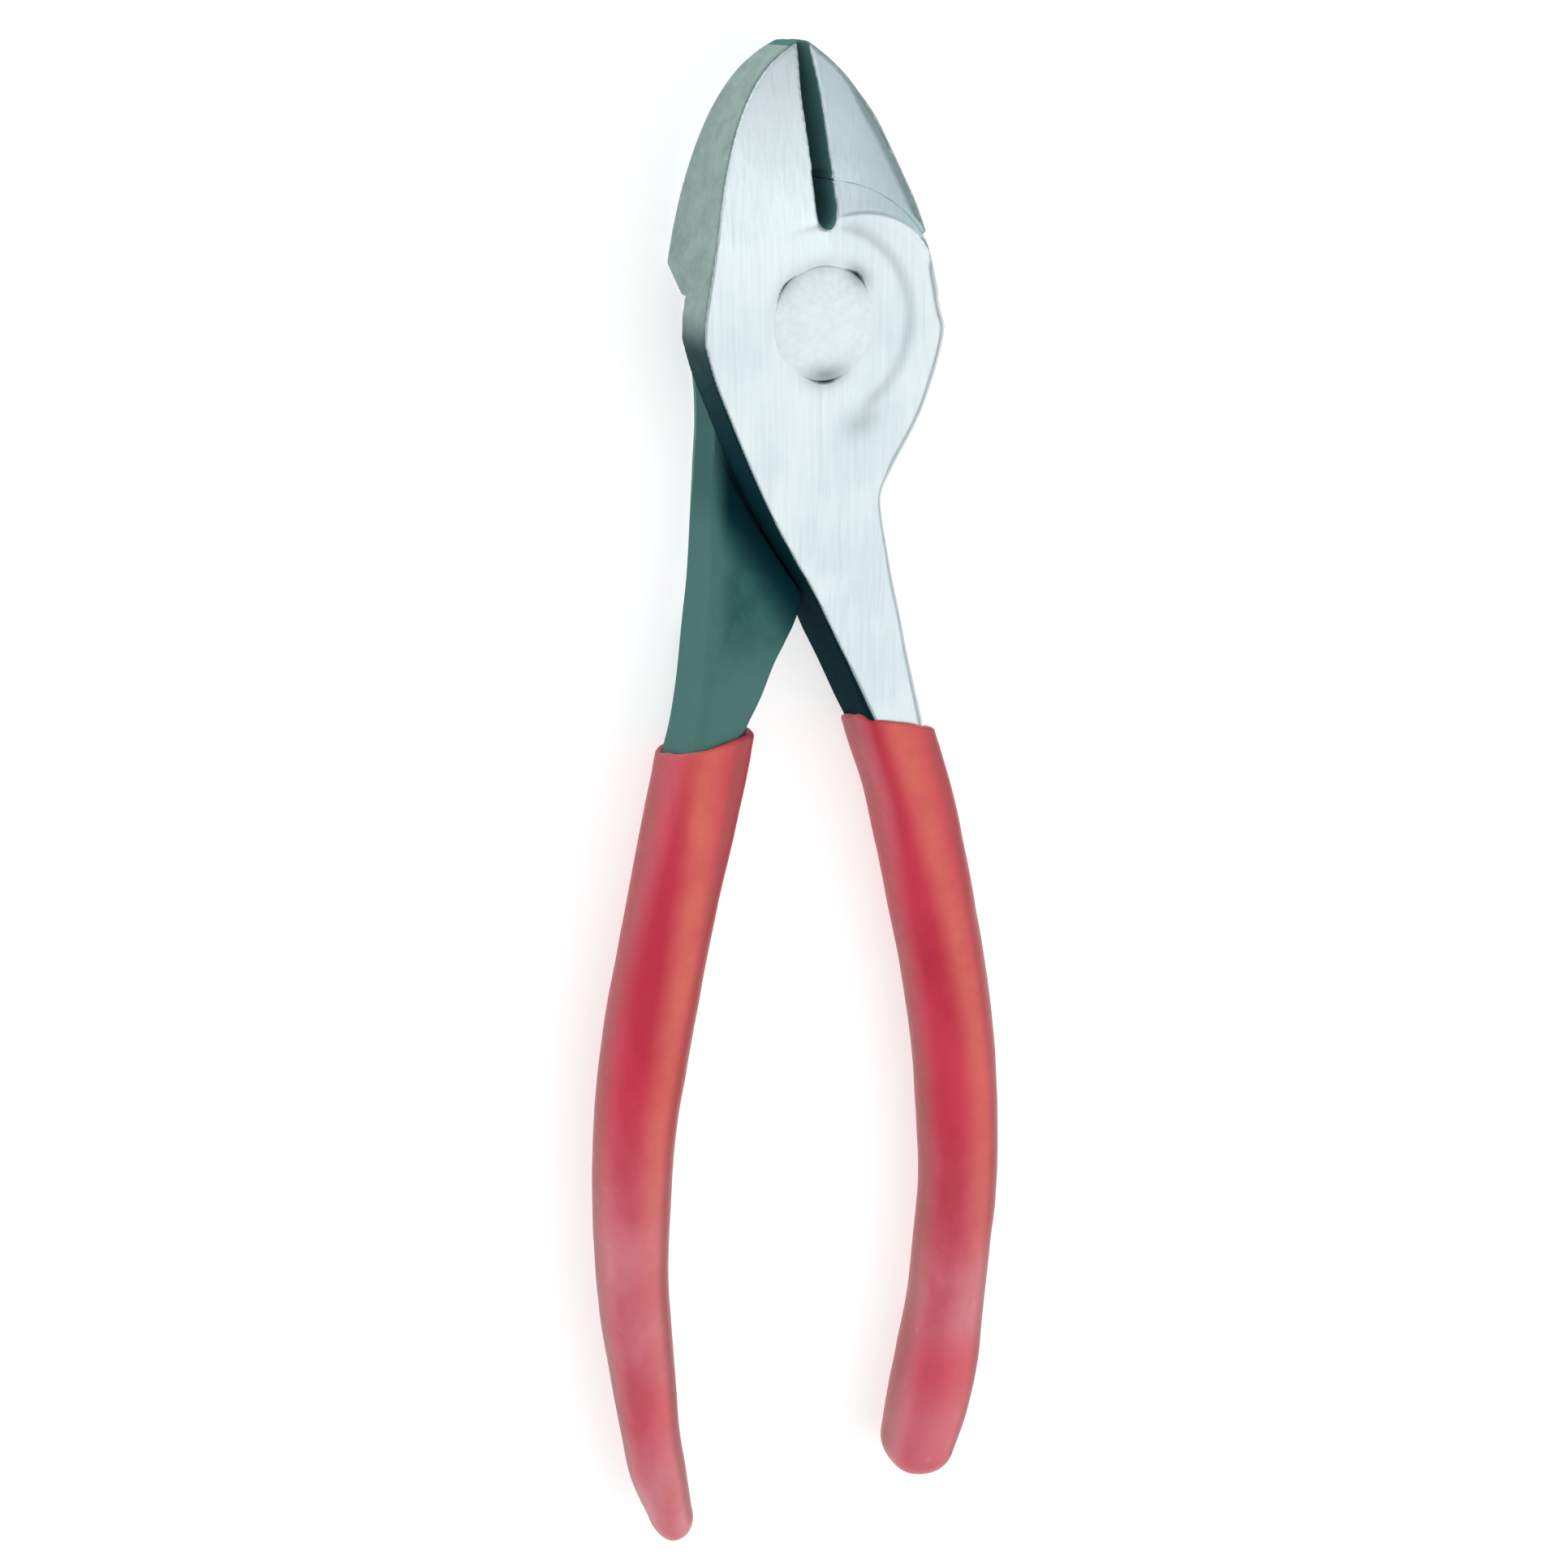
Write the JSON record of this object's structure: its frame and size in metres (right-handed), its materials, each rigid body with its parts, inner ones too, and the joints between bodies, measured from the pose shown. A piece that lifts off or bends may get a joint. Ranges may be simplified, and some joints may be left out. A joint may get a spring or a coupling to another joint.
{
  "type": "diagonal cutting pliers",
  "caption": "Lap-joint diagonal cutting pliers for wire, with forged steel levers turning on a round rivet and slim dipped vinyl handle grips.",
  "frame": {"origin": "on the pivot axis, at the rear face of the joint, where the flush rear rivet head lies", "axes": "+Z along the pivot axis out of the front face, +Y to the cutting tip, +X to the right seen from the front. The tool lies on its rear face with the jaws closed."},
  "size_m": [0.0532, 0.1783, 0.0127],
  "materials": {
    "polished_steel": "bright ground and polished tool steel, nearly white on the flat faces, with fine grinding lines",
    "forged_steel": "the same steel with a darker grey-green forged and hardened skin on the flanks and the recessed shank",
    "rivet_steel": "bright peened rivet head, low dome",
    "grip_vinyl": "red dipped vinyl, soft gloss, slightly mottled and paler towards the lower ends"
  },
  "bodies": {
    "front_half": {"front_lever": "polished_steel", "pivot_rivet": "rivet_steel", "right_grip": "grip_vinyl"},
    "back_half": {"back_lever": "forged_steel", "left_grip": "grip_vinyl"}
  },
  "joints": [
    {"name": "jaw_pivot", "type": "hinge", "parent": "front_half", "child": "back_half", "pos_m": [0, 0, 0.006], "axis": [0, 0, -1], "range_deg": [0, 25]}
  ]
}
